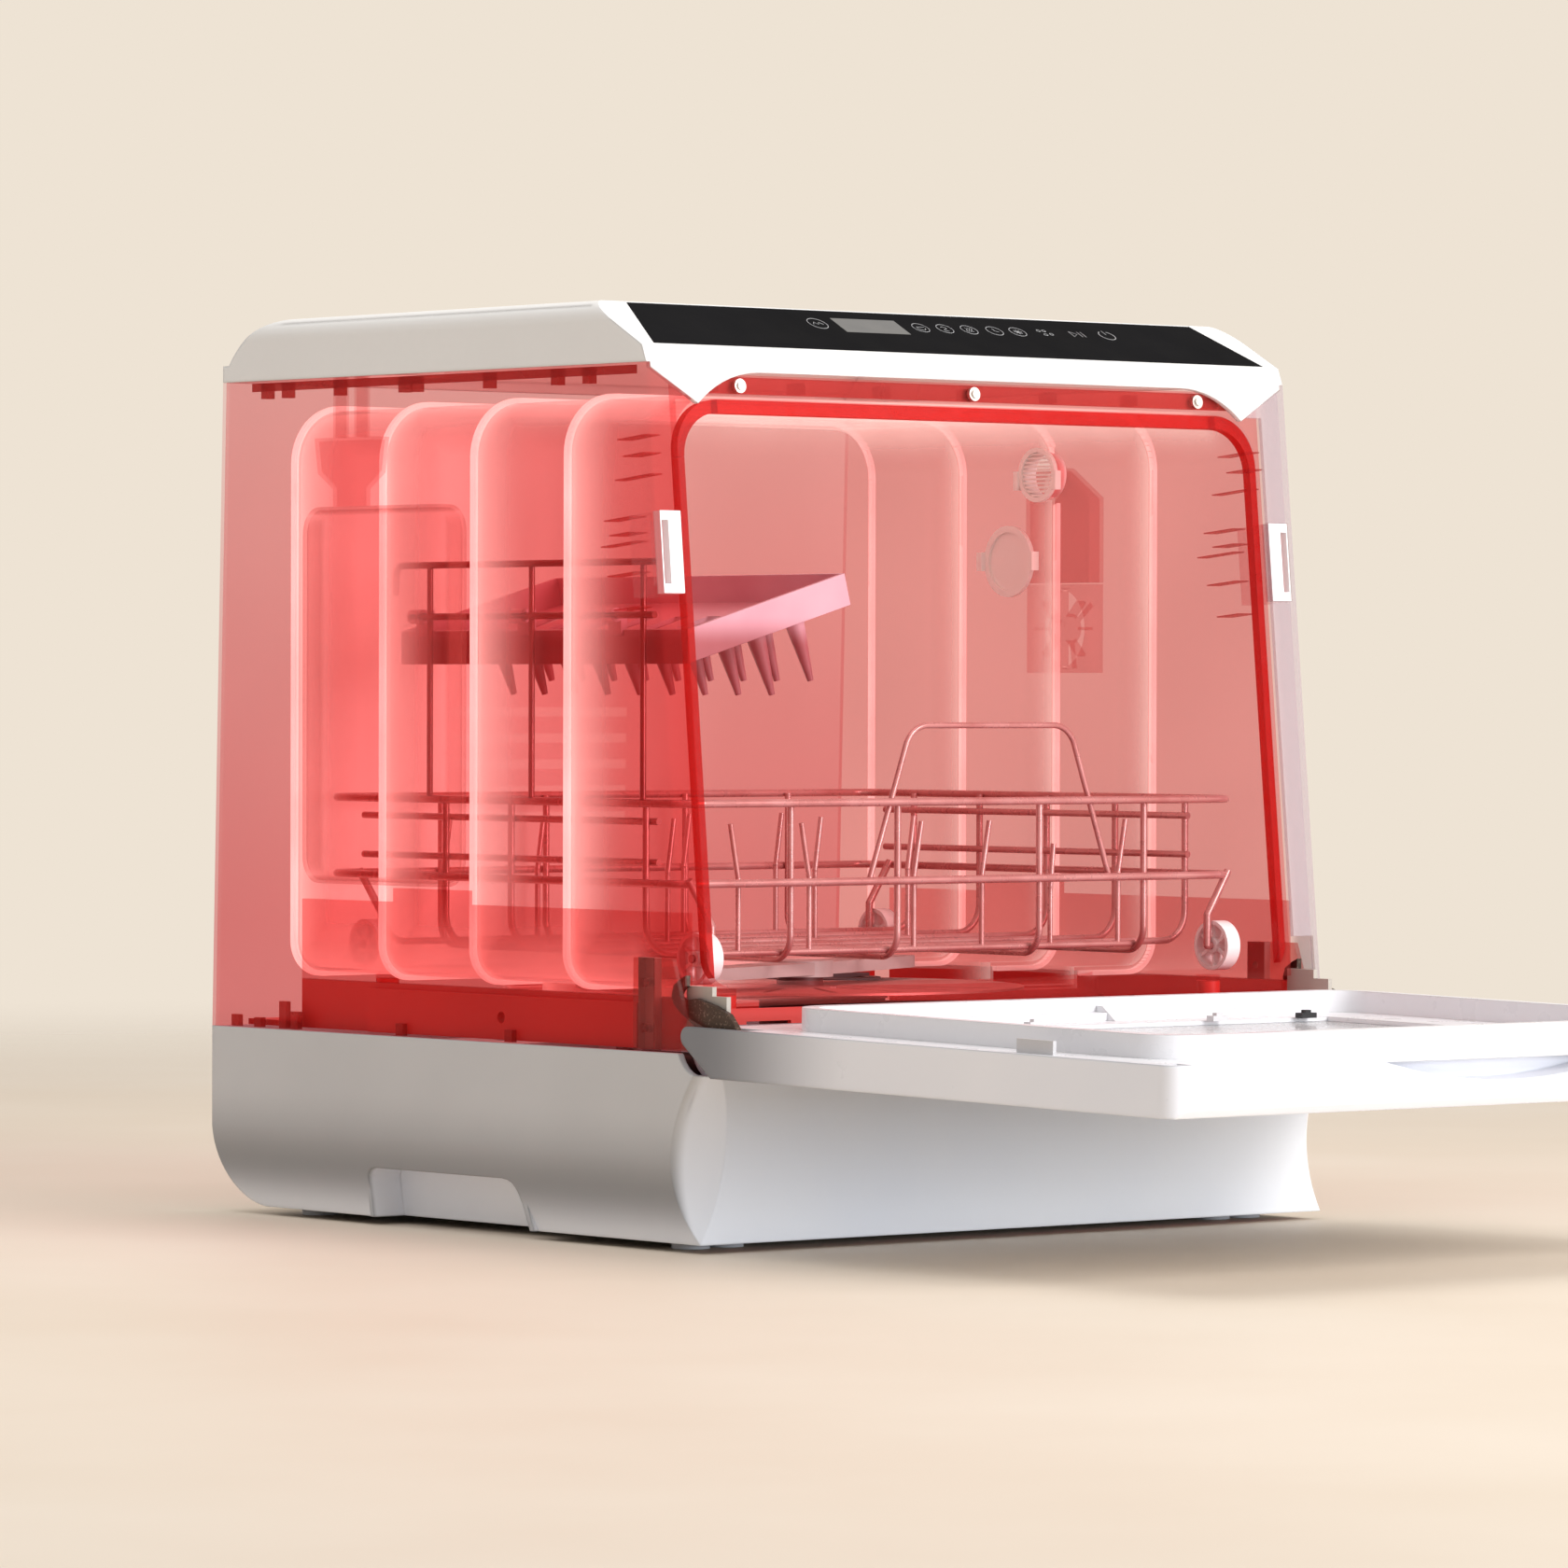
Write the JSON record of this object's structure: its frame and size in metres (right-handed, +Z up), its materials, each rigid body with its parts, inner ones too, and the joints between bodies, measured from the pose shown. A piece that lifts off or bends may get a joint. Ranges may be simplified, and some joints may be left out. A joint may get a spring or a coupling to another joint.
{
  "type": "countertop dishwasher",
  "caption": "Compact countertop dishwasher with a drop-down door, a rounded tub, a wire basket on wheels and a folding cup shelf.",
  "frame": {"origin": "centre of the footprint with the door open and the basket in, at floor level", "axes": "+Z up, -Y towards the free end of the open door, +X to the right seen from the front"},
  "size_m": [0.42, 0.7584, 0.46],
  "materials": {
    "cover_white": "satin",
    "base_grey": "satin",
    "pan_grey": "matt",
    "foot_grey": "matt",
    "side_tint": "clear",
    "side_tint_right": "clear",
    "back_tint": "satin",
    "panel_black": "gloss",
    "display_grey": "gloss",
    "board_green": "satin",
    "chassis_red": "satin",
    "tub_tint": "clear",
    "band_pale": "frosted",
    "seal_red": "satin",
    "latch_white": "satin",
    "screw_steel": "satin",
    "vent_white": "satin",
    "duct_pink": "satin",
    "fan_black": "matt",
    "water_box": "satin",
    "pipe_pale": "satin",
    "tank_pale": "satin",
    "pump_dark": "satin",
    "heater_steel": "satin",
    "inlet_metal": "satin",
    "port_black": "matt",
    "hose_black": "matt",
    "sump_grey": "satin",
    "filter_steel": "satin",
    "filter_grey": "satin",
    "spray_grey": "satin",
    "bracket_steel": "satin",
    "pin_steel": "polished",
    "arm_steel": "speckled",
    "door_shell": "satin",
    "door_lining": "satin",
    "door_glass": "clear",
    "clip_black": "matt",
    "striker_grey": "satin",
    "basket_wire": "satin",
    "wheel_white": "satin",
    "shelf_frame_red": "satin",
    "shelf_mauve": "satin"
  },
  "bodies": {
    "casing": {"base_shell": "base_grey", "base_pan": "pan_grey", "feet": "foot_grey", "left_side_panel": "side_tint", "right_side_panel": "side_tint_right", "back_panel": "back_tint", "top_cover": "cover_white", "control_panel": "panel_black", "display_window": "display_grey", "display_board": "board_green", "chassis_frame": "chassis_red", "tub": "tub_tint", "tub_bands": "band_pale", "door_seal": "seal_red", "latch_left": "latch_white", "latch_right": "latch_white", "front_screws": "screw_steel", "breather_ring": "vent_white", "vent_grille": "vent_white", "vent_duct": "duct_pink", "drying_fan": "fan_black", "side_water_box": "water_box", "fill_pipes": "pipe_pale", "fill_port": "cover_white", "water_tank": "tank_pale", "wash_pump": "pump_dark", "drain_pump": "pump_dark", "heater": "heater_steel", "power_board": "board_green", "water_inlet": "inlet_metal", "drain_spigot": "port_black", "power_inlet": "port_black", "hoses": "hose_black", "sump": "sump_grey", "fine_filter": "filter_steel", "hinge_bracket_left": "bracket_steel", "hinge_bracket_right": "bracket_steel", "hinge_pins": "pin_steel"},
    "door": {"door_outer": "door_shell", "door_inner": "door_lining", "door_window": "door_glass", "window_clips": "clip_black", "hinge_arm_left": "arm_steel", "hinge_arm_right": "arm_steel", "strikers": "striker_grey"},
    "basket": {"basket_hoops": "basket_wire", "basket_runners": "basket_wire", "basket_ribs": "basket_wire", "basket_tines": "basket_wire", "plate_stop": "basket_wire", "basket_legs": "basket_wire", "cup_shelf_frame": "shelf_frame_red"},
    "cup_shelf": {"cup_shelf": "shelf_mauve"},
    "spray_arm": {"spray_arm": "spray_grey"},
    "coarse_filter": {"coarse_filter": "filter_grey"},
    "fill_lid": {"fill_lid": "cover_white"},
    "wheel_front_left": {"wheel_front_left": "wheel_white"},
    "wheel_front_right": {"wheel_front_right": "wheel_white"},
    "wheel_rear_left": {"wheel_rear_left": "wheel_white"},
    "wheel_rear_right": {"wheel_rear_right": "wheel_white"}
  },
  "joints": [
    {"name": "door_hinge", "type": "hinge", "parent": "casing", "child": "door", "pos_m": [0, -0.04112, 0.101], "axis": [1, 0, 0], "range_deg": [-96.4, 0]},
    {"name": "basket_slide", "type": "slide", "parent": "casing", "child": "basket", "axis": [0, -1, 0], "range_m": [0, 0.26]},
    {"name": "cup_shelf_fold", "type": "hinge", "parent": "basket", "child": "cup_shelf", "pos_m": [-0.182, 0.15038, 0.307], "axis": [0, -1, 0], "range_deg": [0, 50]},
    {"name": "spray_spin", "type": "hinge", "parent": "casing", "child": "spray_arm", "pos_m": [0, 0.13538, 0.127], "axis": [0, 0, 1], "continuous": true},
    {"name": "filter_twist", "type": "hinge", "parent": "casing", "child": "coarse_filter", "pos_m": [0.07, 0.20038, 0.107], "axis": [0, 0, 1], "range_deg": [0, 40]},
    {"name": "fill_lid_hinge", "type": "hinge", "parent": "casing", "child": "fill_lid", "pos_m": [-0.165, 0.27738, 0.4578], "axis": [-1, 0, 0], "range_deg": [0, 100]},
    {"name": "wheel_front_left_spin", "type": "hinge", "parent": "basket", "child": "wheel_front_left", "pos_m": [-0.1709, 0.00538, 0.1398], "axis": [1, 0, 0], "continuous": true},
    {"name": "wheel_front_right_spin", "type": "hinge", "parent": "basket", "child": "wheel_front_right", "pos_m": [0.1709, 0.00538, 0.1398], "axis": [1, 0, 0], "continuous": true},
    {"name": "wheel_rear_left_spin", "type": "hinge", "parent": "basket", "child": "wheel_rear_left", "pos_m": [-0.1709, 0.27438, 0.1398], "axis": [1, 0, 0], "continuous": true},
    {"name": "wheel_rear_right_spin", "type": "hinge", "parent": "basket", "child": "wheel_rear_right", "pos_m": [0.1709, 0.27438, 0.1398], "axis": [1, 0, 0], "continuous": true}
  ],
  "couplings": [
    {"joint": "wheel_front_left_spin", "follows": "basket_slide", "rad_per_m": 78.74},
    {"joint": "wheel_front_right_spin", "follows": "basket_slide", "rad_per_m": 78.74},
    {"joint": "wheel_rear_left_spin", "follows": "basket_slide", "rad_per_m": 78.74},
    {"joint": "wheel_rear_right_spin", "follows": "basket_slide", "rad_per_m": 78.74}
  ]
}
